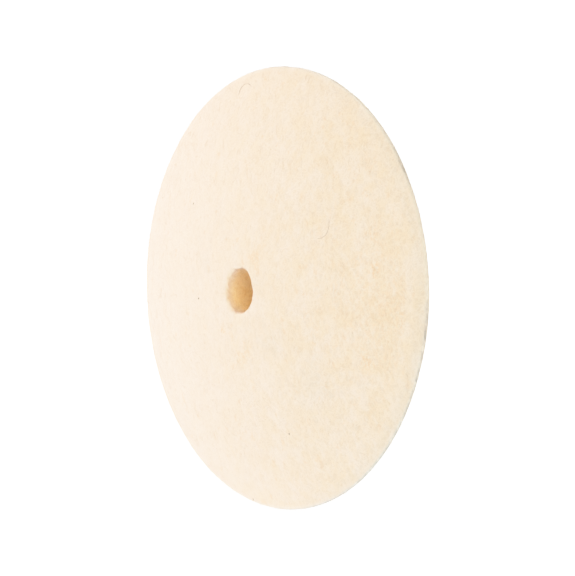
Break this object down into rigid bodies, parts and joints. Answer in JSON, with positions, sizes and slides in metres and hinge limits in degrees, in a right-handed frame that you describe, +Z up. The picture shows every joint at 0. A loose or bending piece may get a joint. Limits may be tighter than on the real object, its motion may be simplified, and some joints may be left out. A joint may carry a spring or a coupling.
{
  "type": "felt polishing wheel",
  "caption": "Lens-shaped polishing wheel of hard pressed wool felt: two shallow crowns, a thin rounded edge and a plain bore for a spindle.",
  "frame": {"origin": "centre of the wheel, on the bore's axis and halfway between the two crowns", "axes": "+Y along the spin axis, out of one crown; +Z up and +X sideways, both in the wheel's plane"},
  "size_m": [0.1, 0.0198, 0.1],
  "materials": {
    "wool_felt": "matte"
  },
  "bodies": {
    "root": {"felt_wheel": "wool_felt"}
  },
  "joints": []
}
